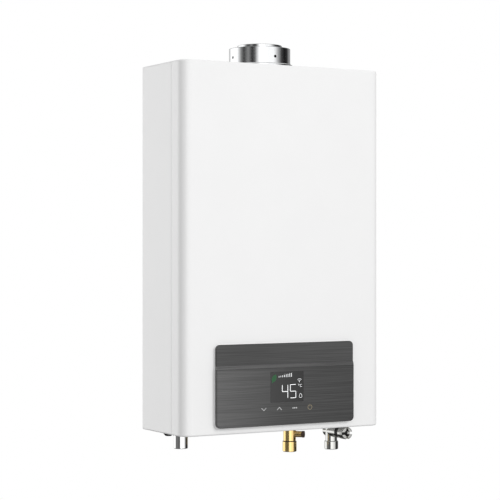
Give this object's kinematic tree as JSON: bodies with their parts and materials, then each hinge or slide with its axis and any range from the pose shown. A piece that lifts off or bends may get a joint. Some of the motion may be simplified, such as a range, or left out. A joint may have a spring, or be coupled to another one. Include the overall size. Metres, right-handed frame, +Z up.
{
  "type": "tankless gas water heater",
  "caption": "Wall-hung room-sealed gas water heater: white steel casing, dark touch panel, coaxial flue collar on top, gas and water connections with a quarter-turn inlet valve below.",
  "frame": {"origin": "centre of the wall bolt pattern, on the face of the wall", "axes": "X to the right seen from the front, Y towards the wall, Z up"},
  "size_m": [0.33, 0.142, 0.5999],
  "materials": {
    "white_enamel": "smooth white powder enamel on sheet steel",
    "dark_fascia": "dark brushed film on a moulded fascia",
    "smoked_window": "smoked clear window",
    "display_black": "black display module",
    "circuit_board": "green lacquered board",
    "zinc_steel": "zinc-coated sheet steel",
    "stainless_steel": "plain stainless steel",
    "polished_collar": "polished steel tube",
    "chrome_plate": "bright chrome plate on brass",
    "brass": "turned brass",
    "copper": "bright copper",
    "cast_aluminium": "die-cast aluminium",
    "plunger_iron": "soft iron",
    "motor_shell": "dark motor shell",
    "black_rubber": "moulded rubber",
    "black_plastic": "moulded plastic",
    "pale_plastic": "moulded plastic",
    "white_ceramic": "fired ceramic"
  },
  "bodies": {
    "casing": {"rear_pan": "white_enamel", "front_cover": "white_enamel", "control_panel": "dark_fascia", "display_lens": "smoked_window", "display_module": "display_black", "display_board": "circuit_board", "controller_board": "circuit_board", "upper_wall_bracket": "zinc_steel", "lower_wall_bracket": "zinc_steel", "chamber_rails": "zinc_steel", "burner_box": "zinc_steel", "exhaust_hood": "zinc_steel", "fan_inlet_duct": "zinc_steel", "fan_housing": "zinc_steel", "electrode_plate": "zinc_steel", "exhaust_spigot": "stainless_steel", "burner_bars": "stainless_steel", "electrode_pins": "stainless_steel", "cover_screws": "stainless_steel", "flue_collar": "polished_collar", "hot_outlet_nipple": "chrome_plate", "inlet_valve_body": "chrome_plate", "gas_inlet_fitting": "brass", "gas_test_screw": "brass", "gas_nozzles": "brass", "fitting_lock_nuts": "brass", "pipe_nuts": "brass", "combustion_chamber": "copper", "exchanger_tubes": "copper", "exchanger_fins": "copper", "return_caps": "copper", "cold_pipe": "copper", "hot_pipe": "copper", "gas_valve_body": "cast_aluminium", "gas_manifold": "cast_aluminium", "gas_riser": "cast_aluminium", "fan_motor": "motor_shell", "gas_valve_coils": "motor_shell", "cover_gasket": "black_rubber", "flue_gasket": "black_rubber", "knob_seal": "black_rubber", "cable_gland": "black_rubber", "inlet_cartridge": "black_plastic", "display_housing": "black_plastic", "controller_box": "black_plastic", "igniter": "black_plastic", "air_pressure_switch": "black_plastic", "overheat_thermostat": "black_plastic", "pipe_thermistors": "black_plastic", "touch_pads": "black_plastic", "flow_sensor_body": "pale_plastic", "flow_sensor_cap": "pale_plastic", "electrode_ceramics": "white_ceramic"},
    "inlet_tap": {"inlet_knob": "chrome_plate", "inlet_spindle": "stainless_steel", "inlet_disc": "white_ceramic"},
    "fan_wheel": {"fan_impeller": "zinc_steel"},
    "flow_rotor": {"flow_turbine": "pale_plastic"},
    "shutoff_stage": {"shutoff_plunger": "plunger_iron"},
    "modulating_stage": {"modulating_plunger": "plunger_iron"}
  },
  "joints": [
    {"name": "inlet_tap_turn", "type": "hinge", "parent": "casing", "child": "inlet_tap", "pos_m": [0.128, -0.0885, -0.2755], "axis": [0, -1, 0], "range_deg": [0, 90]},
    {"name": "fan_spin", "type": "hinge", "parent": "casing", "child": "fan_wheel", "pos_m": [-0.027, -0.0867, 0.154], "axis": [0, 1, 0], "continuous": true},
    {"name": "flow_rotor_spin", "type": "hinge", "parent": "casing", "child": "flow_rotor", "pos_m": [0.128, -0.0586, -0.21605], "axis": [0, 0, 1], "continuous": true},
    {"name": "shutoff_lift", "type": "slide", "parent": "casing", "child": "shutoff_stage", "axis": [0, 0, 1], "range_m": [0, 0.003], "stiffness_N_per_m": 150, "springref_m": -0.01},
    {"name": "modulating_lift", "type": "slide", "parent": "casing", "child": "modulating_stage", "axis": [0, 0, 1], "range_m": [0, 0.004], "stiffness_N_per_m": 150, "springref_m": -0.01}
  ]
}
